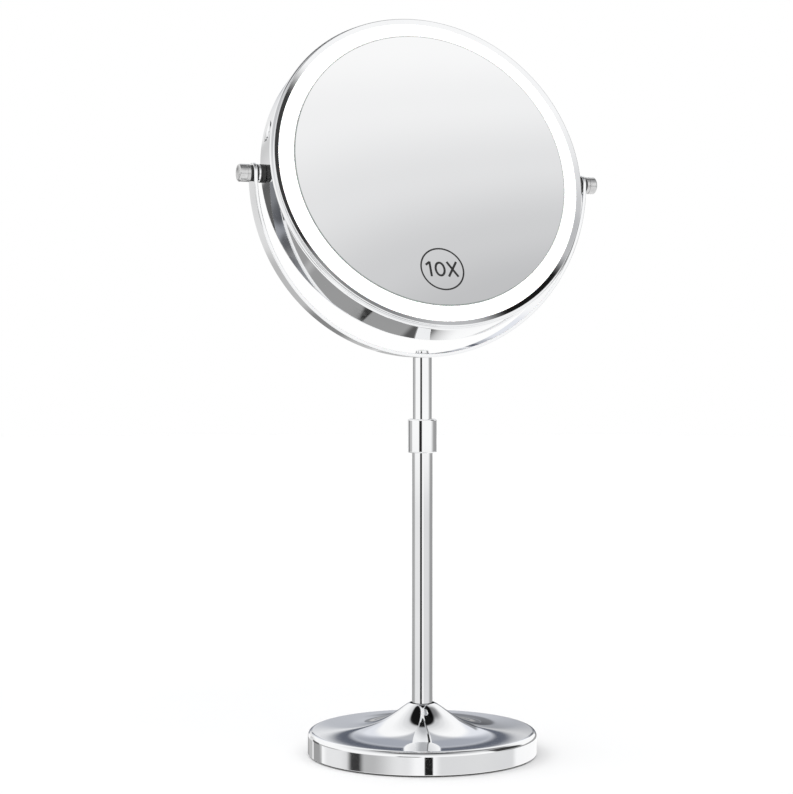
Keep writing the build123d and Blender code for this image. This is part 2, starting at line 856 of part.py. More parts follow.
def battery_strap():
    """Steel strap over the cell, with a foot each side."""
    x_size, _, thickness = battery_size
    inside = x_size / 2 + free_gap
    cell_face = -half_chassis - seat_gap - thickness - seat_gap
    foot = x_size / 2 + strap_screw_offset + strap_foot_end
    centre_x, centre_y = battery_place
    across = (centre_y - strap_width / 2, centre_y + strap_width / 2)
    outer = inside + strap_thickness
    over = block((centre_x - outer, centre_x + outer), across, (cell_face - strap_thickness, -half_chassis))
    hollow = block((centre_x - inside, centre_x + inside), (across[0] - 1, across[1] + 1), (cell_face, 0))
    feet = block((centre_x - foot, centre_x + foot), across, (-half_chassis - strap_thickness, -half_chassis))
    holes = [
        Pos(x, centre_y, 0) * Cylinder(board_screw_diameter / 2 + seat_gap, 10) for x in strap_screw_places
    ]
    return over + feet - hollow - holes


# ---- power button and charging socket ----------------------------------------------------------
def power_button():
    """Domed cap through the band, with a flange behind it and a post on the switch plunger."""
    radius = button_diameter / 2
    edge_top = band_radius + button_proud
    flange_top = math.sqrt(band_bore**2 - button_flange_radius**2) - button_flange_gap
    flange_bottom = flange_top - button_flange_thickness
    sphere = (radius**2 + button_dome**2) / (2 * button_dome)
    half_way_drop = sphere - math.sqrt(sphere**2 - radius**2 / 4)
    top = ThreePointArc(
        (radius, edge_top),
        (radius / 2, edge_top + button_dome - half_way_drop),
        (0, edge_top + button_dome),
    )
    rest = Polyline(
        (0, edge_top + button_dome),
        (0, plunger_top),
        (button_post_radius, plunger_top),
        (button_post_radius, flange_bottom),
        (button_flange_radius, flange_bottom),
        (button_flange_radius, flange_top),
        (radius, flange_top),
        (radius, edge_top),
    )
    return revolve(Plane.XZ * make_face(top + rest), Axis.Z)


def switch_plunger():
    return disc(plunger_diameter / 2, plunger_bottom, plunger_top)


def power_switch():
    body = block(
        (-switch_size / 2, switch_size / 2), (-switch_size / 2, switch_size / 2), (switch_base, switch_top)
    )
    well_floor = plunger_bottom - button_travel - 2 * seat_gap
    return body - disc(plunger_diameter / 2 + seat_gap, well_floor, switch_top)


def switch_board():
    half = switch_board_size / 2
    return block((-half, half), (-half, half), (switch_seat, switch_base))


def charging_socket():
    """Metal shell with a contact tongue, open outwards. Its z is the distance from the centre."""
    shell = RectangleRounded(socket_height, socket_width, socket_height / 2 - 0.01)
    hollow = RectangleRounded(
        socket_height - 2 * socket_wall, socket_width - 2 * socket_wall, socket_height / 2 - socket_wall - 0.01
    )
    body = Pos(0, 0, socket_inner) * extrude(shell, socket_depth)
    cavity = Pos(0, 0, socket_inner + socket_floor) * extrude(hollow, socket_depth)
    tongue = block(
        (-socket_tongue / 2, socket_tongue / 2),
        (-socket_width / 2 + socket_tongue_margin, socket_width / 2 - socket_tongue_margin),
        (socket_inner + socket_floor, socket_inner + socket_depth - socket_tongue_short),
    )
    return Pos(-socket_lift, 0, 0) * (body - cavity + tongue)


def charge_board():
    width, depth, thickness = charge_board_size
    return block(
        (half_chassis, half_chassis + thickness),
        (-width / 2, width / 2),
        (socket_inner - depth / 2, socket_inner + depth / 2),
    )


# ---- pivots -------------------------------------------------------------------------------------
def pivot_boss():
    """Metal block that takes a stud's inner end. Its ears lie on the chassis plate."""
    body = block(
        (boss_inner_face, band_radius), (-boss_width / 2, boss_width / 2), (-boss_depth / 2, boss_depth / 2)
    )
    ears = block(
        (ear_face, ear_face + ear_length),
        (-boss_width / 2 - ear_reach, boss_width / 2 + ear_reach),
        (half_chassis, half_chassis + ear_thickness),
    )
    stud_hole = RIGHT * disc(stud_radius, stud_inner_end, band_radius)
    screw_holes = [
        Pos(ear_middle, sign * ear_screw_offset, 0) * Cylinder(boss_screw_diameter / 2 + seat_gap, 20)
        for sign in (-1, 1)
    ]
    room = disc(band_bore - seat_gap, -band_rear_edge, band_front_edge)
    return (body + ears) & room - stud_hole - screw_holes


def boss_screws():
    one = screw(boss_screw_diameter, boss_screw_length, boss_screw_head, boss_screw_head_height)
    screws = [
        Pos(side * ear_middle, sign * ear_screw_offset, half_chassis + ear_thickness) * one
        for side in (-1, 1)
        for sign in (-1, 1)
    ]
    return group(screws)


def pivot_stud():
    return disc(stud_radius, stud_inner_end, stud_outer_end)


def pivot_washers():
    """Spacer, rubber washer, steel washer and nylon washer, from the band out to the yoke."""
    faces = [band_contact]
    for thickness in (spacer_thickness, rubber_washer_thickness, steel_washer_thickness):
        faces.append(faces[-1] + thickness)
    faces.append(pivot_face)
    bore = stud_radius + seat_gap
    return [ring(bore, washer_diameter / 2, low, high) for low, high in zip(faces, faces[1:])]


def knob_washer():
    return ring(stud_radius + seat_gap, knob_washer_diameter / 2, knob_washer_face, knob_face)


def knob():
    """Turned thumb nut with a groove and a rounded end, threaded blind onto the stud."""
    outer = knob_diameter / 2
    groove = outer - knob_groove_depth
    groove_low = knob_face + knob_ring_length
    end = knob_face + knob_length
    body = turned(
        (0, knob_face),
        (outer, knob_face, 0.4),
        (outer, groove_low, 0.15),
        (groove, groove_low),
        (groove, groove_low + knob_groove_width),
        (outer, groove_low + knob_groove_width, 0.15),
        (outer, end, knob_end_round),
        (0, end),
    )
    return body - disc(stud_bore, knob_face, stud_outer_end + free_gap)


# ---- nodes ------------------------------------------------------------------------------------
nodes = {
    "base_shell": base_shell(),
    "base_weight": base_weight(),
    "base_plate": base_plate(),
    "foot_pad": foot_pad(),
    "base_screws": base_screws(),
    "stem_bolt": stem_bolt(),
    "stem_washer": stem_washer(),
    "foot_plug": foot_plug(),
    "outer_tube": outer_tube(),
    "height_collar": height_collar(),
    "collar_liner": collar_liner(),
    "slide_bush": slide_bush(),
    "tube_spigot": tube_spigot(),
    "inner_tube": inner_tube(),
    "top_plug": top_plug(),
    "yoke": yoke(),
    "yoke_washer": yoke_washer(),
    "yoke_screw": yoke_screw(),
    "rim_band": HEAD * band(),
    "chassis": HEAD * chassis(),
    "led_screws": HEAD * led_screws(),
    "control_board": HEAD * control_board(),
    "board_screws": HEAD * board_screws(),
    "battery": HEAD * battery(),
    "battery_strap": HEAD * battery_strap(),
    "leads": HEAD * leads(),
    "power_switch": HEAD * BUTTON * power_switch(),
    "switch_board": HEAD * BUTTON * switch_board(),
    "switch_plunger": HEAD * BUTTON * switch_plunger(),
    "power_button": HEAD * BUTTON * power_button(),
    "charging_socket": HEAD * SOCKET * charging_socket(),
    "charge_board": HEAD * SOCKET * charge_board(),
    "boss_screws": HEAD * boss_screws(),
}
nodes["front_bezel"] = HEAD * bezel(band_front_edge, bezel_front, Pos(0, 0, 0))
nodes["rear_bezel"] = HEAD * bezel(band_rear_edge, bezel_front - rear_shallower, BACK)
for face, place, curve in (("front", Pos(0, 0, 0), mirror_curve), ("rear", REAR, None)):
    nodes[face + "_light_ring"] = HEAD * place * light_ring(curve)
    nodes[face + "_led_board"] = HEAD * place * led_board()
    nodes[face + "_leds"] = HEAD * place * leds()
    nodes[face + "_mirror"] = HEAD * place * mirror_glass(curve)
    nodes[face + "_mirror_tape"] = HEAD * place * tape(curve)
for hand, place, turn in (("left", LEFT, Rot(0, 0, 180)), ("right", RIGHT, Pos(0, 0, 0))):
    nodes[hand + "_pivot_boss"] = HEAD * turn * pivot_boss()
    nodes[hand + "_pivot_stud"] = HEAD * place * pivot_stud()
    nodes[hand + "_yoke_bush"] = yoke_bush(place)
    nodes[hand + "_knob"] = HEAD * place * knob()
washer_kinds = ("pivot_spacers", "rubber_washers", "steel_washers", "nylon_washers", "knob_washers")
for kind, washer in zip(washer_kinds, pivot_washers() + [knob_washer()]):
    nodes[kind] = group([HEAD * place * washer for place in (LEFT, RIGHT)])

os.makedirs("parts", exist_ok=True)
for name, shape in nodes.items():
    export_step(shape, "parts/" + name + ".step")
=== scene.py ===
import json
import math

import bpy
from mathutils import Matrix, Vector


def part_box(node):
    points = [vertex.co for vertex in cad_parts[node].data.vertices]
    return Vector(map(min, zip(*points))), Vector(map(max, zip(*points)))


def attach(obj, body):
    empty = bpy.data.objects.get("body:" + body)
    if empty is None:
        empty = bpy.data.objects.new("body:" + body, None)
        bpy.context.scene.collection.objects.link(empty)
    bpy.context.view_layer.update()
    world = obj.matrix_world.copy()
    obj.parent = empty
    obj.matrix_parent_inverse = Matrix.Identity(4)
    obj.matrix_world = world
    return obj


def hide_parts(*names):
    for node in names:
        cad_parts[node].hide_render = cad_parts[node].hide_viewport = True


# Looks for the lighted vanity mirror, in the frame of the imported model. Pieces are drawn in
# millimetres and scaled to metres by MM. Turned pieces are drawn as outlines of (radius, height)
# about their own Z and then placed. The head's pieces are drawn in the face frame: x right, y up, z
# out of the magnifying face.

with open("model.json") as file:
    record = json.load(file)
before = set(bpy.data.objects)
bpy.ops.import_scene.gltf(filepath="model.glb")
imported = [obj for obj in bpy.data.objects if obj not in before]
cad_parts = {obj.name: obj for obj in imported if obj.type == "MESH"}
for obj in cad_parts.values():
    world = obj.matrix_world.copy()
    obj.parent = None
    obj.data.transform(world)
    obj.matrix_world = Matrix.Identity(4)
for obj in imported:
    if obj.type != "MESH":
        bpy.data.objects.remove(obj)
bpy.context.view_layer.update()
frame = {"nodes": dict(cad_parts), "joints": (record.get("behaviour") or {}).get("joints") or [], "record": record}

MM = 0.001
SMOOTH = "smooth"

# ---- sizes that the looks need, in millimetres -------------------------------------------------
sliding_gap = 0.05
seat_gap = 0.1
free_gap = 0.3
rest_tilt = 17.0
rear_shallower = 6.4
band_radius = 115.0
band_wall = 2.0
band_front_edge = 15.6
band_rear_edge = 8.5
band_front_round = 1.4
band_rear_round = 0.8
bezel_radius = 113.4
bezel_wall = 2.0
bezel_lip_radius = 109.6
bezel_lip_wall = 1.5
bezel_front = 18.9
bezel_round = 0.5
bezel_crest_radius = 112.8
bezel_crest_round = 0.25
bezel_lip_round = 0.12
bezel_lip_dip = 1.3
ring_edge_drop = 1.05
spigot_depth = 2.5
spigot_radius = 112.9
mirror_radius = 99.3
mirror_front = 20.6
mirror_thickness = 3.0
mirror_curve = 556.0
mirror_edge_chamfer = 0.5
ring_gap = 0.5
ring_wall = 2.0
ring_outer_gap = 0.2
ring_bow = 0.25
ring_outer_round = 0.2
ring_inner_round = 0.3
seat_width = 3.8
seat_thickness = 2.0
tape_thickness = 0.5
led_board_top = 12.0
button_angle = 15.0
button_offset = 3.5
button_radius = 7.0
button_dome = 0.7
button_proud = 0.5
button_edge_round = 0.35
button_flange_radius = 8.1
button_flange_thickness = 1.0
button_post_radius = 1.6
button_post_end = 105.9
socket_angle = 15.0
socket_lift = 0.7
socket_height = 3.4
socket_width = 9.2
yoke_radius = 124.0
yoke_thickness = 2.5
yoke_width = 14.0
yoke_edge_round = 0.6
yoke_tip = 0.12
dome_steepness = 5.2
dome_shoulder = 1.3
shell_wall = 1.2
base_rim_round = 3.4
base_rim_height = 16.5
base_lip_radius = 8.7
skirt_edge_round = 0.4
tube_wall = 0.5
tube_edge_round = 0.15
collar_round = 1.0
collar_mouth_round = 0.2
collar_cap_wall = 1.5
liner_wall = 1.2
washer_radius = 6.25
spacer_thickness = 2.5
rubber_washer_thickness = 1.2
steel_washer_thickness = 1.4
knob_washer_radius = 5.5
knob_washer_thickness = 1.5
knob_washer_gap = 0.02
knob_washer_round = 0.3
knob_radius = 6.0
knob_ring_length = 2.1
knob_groove_width = 0.4
knob_groove_depth = 0.35
knob_end_round = 1.2
knob_face_round = 0.4
knob_groove_round = 0.15
knob_dish = 0.25
knob_dish_margin = 0.6
knob_bore_end = 131.3
stud_bore = 2.55
mark_height = -72.0
mark_radius = 15.4
mark_line = 1.15
mark_lift = 0.03
mark_sink = 0.005
digit_line = 1.6
digit_half_height = 5.6

# ---- camera and light: metres and degrees ------------------------------------------------------
camera_azimuth = 21.79
camera_distance = 1.3369
camera_height = 0.2726
camera_turn = 0.77
camera_pitch = -0.995
camera_lens = 86.8
studio_strength = 1.02
light_spread = 100
light_energy = 1.6
light_lean_back = 12
light_lean_left = -8
floor_radius = 6.0
floor_level = -0.0002


# ---- places ------------------------------------------------------------------------------------
def joint(name):
    return next(one for one in frame["joints"] if one["name"] == name)


pivot_height = joint("head_tilt")["pos_m"][2]
HEAD = Matrix.Translation((0, 0, pivot_height)) @ Matrix.Rotation(math.radians(90 - rest_tilt), 4, "X")
BACK = Matrix.Rotation(math.pi, 4, "Y")
REAR = BACK @ Matrix.Translation((0, 0, -rear_shallower * MM))
RIGHT = Matrix.Rotation(math.pi / 2, 4, "Y")
LEFT = Matrix.Rotation(-math.pi / 2, 4, "Y")
BUTTON = (
    Matrix.Translation((0, 0, button_offset * MM))
    @ Matrix.Rotation(math.radians(180 - button_angle), 4, "Z")
    @ RIGHT
)
SOCKET = Matrix.Rotation(math.radians(socket_angle), 4, "Z") @ RIGHT


# ---- outlines and turned meshes ----------------------------------------------------------------
def unit(vector):
    length = math.hypot(*vector)
    return (vector[0] / length, vector[1] / length) if length else (0.0, 0.0)


def outward(start, end, side):
    """Unit normal of an outline's straight piece, pointing out of the material."""
    along = unit((end[0] - start[0], end[1] - start[1]))
    return (side * along[1], -side * along[0])


def outline(*corners, steps=6):
    """Closed outline as (point, normal before, normal after). A corner is (radius, height), with a
    rounding radius or SMOOTH as its third value."""
    points = [corner[:2] for corner in corners]
    area = sum(a[0] * b[1] - b[0] * a[1] for a, b in zip(points, points[1:] + points[:1]))
    side = 1 if area > 0 else -1
    count = len(points)
    result = []
    for index, corner in enumerate(corners):
        here = points[index]
        before = outward(points[index - 1], here, side)
        after = outward(here, points[(index + 1) % count], side)
        kind = corner[2] if len(corner) == 3 else 0
        if kind == SMOOTH:
            mean = unit((before[0] + after[0], before[1] + after[1]))
            result.append((here, mean, mean))
        elif kind:
            result += rounded(here, before, after, kind, side, steps)
        else:
            result.append((here, before, after))
    return result


def rounded(corner, before, after, radius, side, steps):
    """Arc in place of a corner, tangent to the straight pieces on both sides."""
    cross = before[0] * after[1] - before[1] * after[0]
    turn = math.atan2(cross, before[0] * after[0] + before[1] * after[1])
    bulge = 1 if turn * side > 0 else -1
    middle = unit((before[0] + after[0], before[1] + after[1]))
    reach = radius / math.cos(turn / 2)
    centre = (corner[0] - bulge * middle[0] * reach, corner[1] - bulge * middle[1] * reach)
    start = math.atan2(before[1], before[0])
    arc = []
    for step in range(steps + 1):
        angle = start + turn * step / steps
        normal = (math.cos(angle), math.sin(angle))
        point = (centre[0] + bulge * radius * normal[0], centre[1] + bulge * radius * normal[1])
        arc.append((point, normal, normal))
    return arc


def finish_mesh(name, points, faces, normals, place, body, material, slot_name, *nodes):
    """Object from points in millimetres, with a normal for each face corner."""
    mesh = bpy.data.meshes.new(name)
    mesh.from_pydata([place @ (Vector(point) * MM) for point in points], [], faces)
    turn = place.to_3x3()
    mesh.polygons.foreach_set("use_smooth", [True] * len(mesh.polygons))
    mesh.normals_split_custom_set([turn @ Vector(normal) for normal in normals])
    mesh.materials.append(material)
    piece = bpy.data.objects.new(name, mesh)
    bpy.context.scene.collection.objects.link(piece)
    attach(piece, body)
    if nodes:
        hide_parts(*nodes)
    return piece


def turned_mesh(shape, count):
    """Points, faces and corner normals of an outline turned about Z."""
    points, faces, normals, rows = [], [], [], []
    turns = [2 * math.pi * index / count for index in range(count)]
    for (radius, height), _, _ in shape:
        if radius < 1e-9:
            rows.append([len(points)] * count)
            points.append((0.0, 0.0, height))
        else:
            rows.append([len(points) + index for index in range(count)])
            points += [(radius * math.cos(turn), radius * math.sin(turn), height) for turn in turns]
    size = len(shape)
    area = sum(
        shape[index][0][0] * shape[(index + 1) % size][0][1]
        - shape[(index + 1) % size][0][0] * shape[index][0][1]
        for index in range(size)
    )
    for index in range(size):
        low, high = rows[index], rows[(index + 1) % size]
        out_low, out_high = shape[index][2], shape[(index + 1) % size][1]
        if low[0] == low[1] and high[0] == high[1]:
            continue
        for step in range(count):
            follow = (step + 1) % count
            ring = [
                (low[step], out_low, turns[step]),
                (low[follow], out_low, turns[follow]),
                (high[follow], out_high, turns[follow]),
                (high[step], out_high, turns[step]),
            ]
            if low[0] == low[1]:
                ring = [ring[0], ring[2], ring[3]]
            elif high[0] == high[1]:
                ring = [ring[0], ring[1], ring[2]]
            if area < 0:
                ring.reverse()
            faces.append([corner[0] for corner in ring])
            for _, (out, up), turn in ring:
                normals.append((out * math.cos(turn), out * math.sin(turn), up))
    return points, faces, normals


def lathe(name, shape, place, body, material, slot_name, *nodes, count=128):
    return finish_mesh(name, *turned_mesh(shape, count), place, body, material, slot_name, *nodes)


def several(name, shape, places, body, material, slot_name, *nodes, count=96):
    """One piece made of the same turned shape at several places."""
    points, faces, normals = [], [], []
    for place in places:
        part_points, part_faces, part_normals = turned_mesh(shape, count)
        start = len(points)
        turn = place.to_3x3()
        points += [(place @ (Vector(point) * MM)) / MM for point in part_points]
        faces += [[start + corner for corner in face] for face in part_faces]
        normals += [turn @ Vector(normal) for normal in part_normals]
    return finish_mesh(name, points, faces, normals, Matrix(), body, material, slot_name, *nodes)


# ---- materials ---------------------------------------------------------------------------------
def shader(name):
    """New material: its node tree, its shader and a texture coordinate in the object's space."""
    material = bpy.data.materials.new(name)
    material.use_nodes = True
    tree = material.node_tree
    principled = tree.nodes["Principled BSDF"]
    place = tree.nodes.new("ShaderNodeTexCoord").outputs["Object"]
    return material, tree, principled, place


def noise(tree, place, scale, detail=2.0, stretch=(1, 1, 1)):
    """Noise value over the surface, with about `scale` lumps to the metre."""
    mapping = tree.nodes.new("ShaderNodeMapping")
    mapping.inputs["Scale"].default_value = stretch
    tree.links.new(place, mapping.inputs["Vector"])
    texture = tree.nodes.new("ShaderNodeTexNoise")
    texture.inputs["Scale"].default_value = scale
    texture.inputs["Detail"].default_value = detail
    tree.links.new(mapping.outputs["Vector"], texture.inputs["Vector"])
    return texture.outputs["Fac"]


def remap(tree, value, low, high, source=(0.35, 0.65)):
    node = tree.nodes.new("ShaderNodeMapRange")
    node.inputs["From Min"].default_value, node.inputs["From Max"].default_value = source
    node.inputs["To Min"].default_value = low
    node.inputs["To Max"].default_value = high
    tree.links.new(value, node.inputs["Value"])
    return node.outputs["Result"]


def blend_colours(tree, value, first, second):
    node = tree.nodes.new("ShaderNodeMix")
    node.data_type = "RGBA"
    node.inputs["A"].default_value = (*first, 1)
    node.inputs["B"].default_value = (*second, 1)
    tree.links.new(value, node.inputs["Factor"])
    return node.outputs["Result"]


def bump(tree, principled, height, depth):
    """Relief of a real depth in metres."""
    node = tree.nodes.new("ShaderNodeBump")
    node.inputs["Distance"].default_value = depth
    node.inputs["Strength"].default_value = 1.0
    tree.links.new(height, node.inputs["Height"])
    tree.links.new(node.outputs["Normal"], principled.inputs["Normal"])


def surface(
    name, light, dark, rough, metal=0.0, patch=60.0, grain=900.0, relief=0.0, stretch=(1, 1, 1),
    **fixed
):
    """Material whose colour drifts between two tones over patches, whose roughness follows a finer
    grain, and whose grain stands up by relief metres."""
    material, tree, principled, place = shader(name)
    patches = remap(tree, noise(tree, place, patch, 3.0), 0, 1)
    tree.links.new(blend_colours(tree, patches, dark, light), principled.inputs["Base Color"])
    grains = noise(tree, place, grain, 4.0, stretch)
    tree.links.new(remap(tree, grains, *rough), principled.inputs["Roughness"])
    principled.inputs["Metallic"].default_value = metal
    if relief:
        bump(tree, principled, grains, relief)
    for socket, value in fixed.items():
        principled.inputs[socket.replace("_", " ")].default_value = value
    return material


def grey(value):
    return (value, value, value)


chrome = surface(
    "chrome", (0.93, 0.935, 0.94), (0.90, 0.905, 0.915), (0.025, 0.05), 1.0, 25.0, 350.0, 2e-7
)
plated = surface(
    "plated_plastic", (0.92, 0.925, 0.93), (0.89, 0.895, 0.905), (0.03, 0.06), 1.0, 20.0, 260.0, 4e-7
)
satin = surface(
    "satin_metal", grey(0.70), grey(0.60), (0.16, 0.28), 1.0, 300.0, 2500.0, 1.2e-6, (0.05, 1, 1),
    Anisotropic=0.5
)
mirror_face = surface(
    "mirror", (0.965, 0.966, 0.968), (0.955, 0.957, 0.96), (0.0, 0.008), 1.0, 8.0, 40.0
)
ground_glass = surface(
    "ground_glass_edge", (0.30, 0.33, 0.32), (0.22, 0.25, 0.24), (0.35, 0.5), 0.0, 200.0, 2500.0, 4e-6
)
frosted = surface(
    "frosted_acrylic", (0.985, 0.985, 0.98), (0.965, 0.968, 0.97), (0.42, 0.55), 0.0, 15.0, 4000.0,
    3e-6, Emission_Color=(1, 0.99, 0.975, 1), Emission_Strength=0.55, Subsurface_Weight=0.15,
    Subsurface_Scale=0.002
)
print_black = surface("mark_print", grey(0.018), grey(0.012), (0.35, 0.5), 0.0, 200.0, 3000.0, 2e-6)
rubber = surface("rubber", grey(0.035), grey(0.02), (0.6, 0.8), 0.0, 90.0, 2600.0, 1.5e-5)
black_nylon = surface("black_nylon", grey(0.03), grey(0.018), (0.4, 0.55), 0.0, 150.0, 1800.0, 8e-6)
white_nylon = surface(
    "white_nylon", (0.84, 0.84, 0.81), (0.78, 0.78, 0.74), (0.4, 0.55), 0.0, 150.0, 1800.0, 6e-6
)
zinc = surface(
    "plain_steel", (0.66, 0.67, 0.69), (0.54, 0.55, 0.58), (0.22, 0.42), 1.0, 220.0, 1500.0, 3e-6
)
powder_black = surface("black_steel", grey(0.05), grey(0.035), (0.45, 0.6), 0.0, 60.0, 1300.0, 2.5e-5)
iron = surface("cast_iron", grey(0.17), (0.11, 0.105, 0.1), (0.6, 0.85), 0.6, 70.0, 700.0, 1.2e-4)
brass = surface("brass", (0.78, 0.62, 0.34), (0.68, 0.52, 0.27), (0.2, 0.34), 1.0, 200.0, 1800.0, 3e-6)
tape_foam = surface("tape", (0.84, 0.84, 0.8), (0.74, 0.74, 0.7), (0.75, 0.9), 0.0, 300.0, 2200.0, 3e-5)
abs_white = surface("white_plastic", grey(0.88), grey(0.82), (0.35, 0.5), 0.0, 40.0, 1200.0, 1e-5)
mask_white = surface(
    "circuit_board", (0.84, 0.87, 0.85), (0.76, 0.8, 0.77), (0.25, 0.4), 0.0, 120.0, 900.0, 6e-6
)
phosphor = surface("led", (0.98, 0.9, 0.45), (0.95, 0.8, 0.3), (0.25, 0.4), 0.0, 500.0, 3000.0, 4e-6)
foil = surface("cell_foil", (0.74, 0.75, 0.77), (0.62, 0.63, 0.66), (0.28, 0.45), 1.0, 120.0, 500.0, 6e-5)
lead_cover = surface("lead_cover", grey(0.05), grey(0.03), (0.4, 0.55), 0.0, 200.0, 1500.0, 5e-6)

slot_materials = {
    "chrome": chrome, "plated_plastic": plated, "button_chrome": plated, "satin_metal": satin,
    "plain_steel": zinc, "black_steel": powder_black, "cast_iron": iron, "brass": brass,
    "rubber": rubber, "black_nylon": black_nylon, "white_nylon": white_nylon, "frosted": frosted,
    "mirror": mirror_face, "tape": tape_foam, "white_plastic": abs_white,
    "circuit_board": mask_white, "led": phosphor, "cell_foil": foil, "lead_cover": lead_cover,
}
for subpart in frame["record"]["subparts"]:
    cad_mesh = frame["nodes"][subpart["node"]].data
    cad_mesh.materials.clear()
    cad_mesh.materials.append(slot_materials[subpart["material_slot"]])


# ---- base --------------------------------------------------------------------------------------
def span(node, axis):
    """Lowest and highest coordinate of a CAD node on one axis, in millimetres."""
    low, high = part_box(node)
    return low["xyz".index(axis)] / MM, high["xyz".index(axis)] / MM


def make_base():
    bottom, lip_height = span("base_shell", "z")
    rim_radius = span("base_shell", "x")[1]
    samples = 60
    crowding = 1.4

    def dome(inset, direction):
        """Top profile from lip to rim, lowered by inset, or back to the lip with a direction of -1."""
        run = rim_radius - base_rim_round - base_lip_radius
        rise = lip_height - base_rim_height
        points = []
        for step in range(samples + 1):
            share = (step / samples) ** crowding
            height = base_rim_height + rise * math.exp(-dome_steepness * share**dome_shoulder)
            points.append((base_lip_radius + share * run, height - inset, SMOOTH))
        points[0] = points[0][:2]
        points[-1] = points[-1][:2]
        side = rim_radius - inset
        points.append((side, points[-1][1], side - points[-1][0]))
        return points[::direction]

    shape = outline(
        *dome(0, 1),
        (rim_radius, bottom, skirt_edge_round),
        (rim_radius - shell_wall, bottom, skirt_edge_round),
        *dome(shell_wall, -1),
        steps=10,
    )
    return lathe("base_cover", shape, Matrix(), "stand", chrome, "chrome", "base_shell", count=256)


# ---- stand -------------------------------------------------------------------------------------
def make_tube(name, node, body):
    low, high = span(node, "z")
    radius = span(node, "x")[1]
    bore = radius - tube_wall
    shape = outline(
        (bore, low), (radius, low, tube_edge_round), (radius, high, tube_edge_round), (bore, high)
    )
    return lathe(name, shape, Matrix(), body, chrome, "chrome", node, count=96)


def make_collar():
    low, high = span("height_collar", "z")
    radius = span("height_collar", "x")[1]
    tube_radius = span("outer_tube", "x")[1]
    tube_top = span("outer_tube", "z")[1]
    bore = tube_radius + sliding_gap
    liner_radius = tube_radius + liner_wall
    mouth = span("inner_tube", "x")[1] + free_gap
    cap = high - collar_cap_wall
    shape = outline(
        (bore, low, collar_mouth_round),
        (radius, low, collar_round),
        (radius, high, collar_round),
        (mouth, high, collar_mouth_round),
        (mouth, cap),
        (liner_radius, cap),
        (liner_radius, tube_top),
        (bore, tube_top),
    )
    return lathe("collar", shape, Matrix(), "stand", chrome, "chrome", "height_collar", count=128)


# ---- yoke --------------------------------------------------------------------------------------
def yoke_sections():
    """Stations along the yoke: (kind, angle round the arc or side of the arm, half width, share of
    the round end's height). The share is also the edge's lean upwards."""
    half = yoke_width / 2
    stations = []
    end_steps = 24
    for side in (-1, 1):
        arm = []
        for step in range(end_steps):
            turn = math.pi / 2 * step / end_steps
            arm.append(("arm", side, half * math.cos(turn), math.sin(turn)))
        arm.append(("arm", side, yoke_tip, 1.0))
        stations.append(arm)
    arc_steps = 180
    arc = [("arc", math.pi + math.pi * step / arc_steps, half, 0.0) for step in range(arc_steps + 1)]
    return stations[0][:0:-1] + arc + stations[1][1:]


def make_yoke():
    thick = yoke_thickness / 2
    middle = yoke_radius - thick
    corner_steps = 5
    points, faces, normals = [], [], []
    rows = []
    for station in yoke_sections():
        half, lean = station[2], station[3]
        if station[0] == "arc":
            out = Vector((math.cos(station[1]), 0, math.sin(station[1])))
            up = Vector((-out.z, 0, out.x)) * (1 if out.x > 0 else -1)
            centre = out * middle
        else:
            out = Vector((station[1], 0, 0))
            up = Vector((0, 0, 1))
            centre = out * middle + up * (yoke_width / 2 * lean)
        edge = min(yoke_edge_round, half * 0.98)
        row = []
        for sign_out, sign_side, first in ((1, 1, 0), (-1, 1, 90), (-1, -1, 180), (1, -1, 270)):
            for step in range(corner_steps + 1):
                turn = math.radians(first + 90 * step / corner_steps)
                swing = (math.cos(turn), math.sin(turn))
                offset = out * (sign_out * (thick - yoke_edge_round) + yoke_edge_round * swing[0])
                across = sign_side * (half - edge) + edge * swing[1]
                level = math.sqrt(max(0.0, 1 - lean**2))
                normal = out * swing[0] + Vector((0, 1, 0)) * (swing[1] * level)
                normal += up * (abs(swing[1]) * lean)
                row.append((centre + offset + Vector((0, across, 0)), normal.normalized()))
        rows.append(row)
    size = len(rows[0])
    for row in rows:
        points += [point for point, _ in row]
    for index in range(len(rows) - 1):
        for step in range(size):
            follow = (step + 1) % size
            ring = [(index, step), (index, follow), (index + 1, follow), (index + 1, step)]
            faces.append([line * size + place for line, place in ring])
            normals += [rows[line][place][1] for line, place in ring]
    for index, sign in ((0, 1), (len(rows) - 1, -1)):
        cap = [index * size + step for step in range(size)]
        faces.append(cap[::-1] if sign > 0 else cap)
        normals += [Vector((0, 0, 1))] * size
    place = Matrix.Translation((0, 0, pivot_height))
    return finish_mesh("yoke_hoop", points, faces, normals, place, "mast", chrome, "chrome", "yoke")


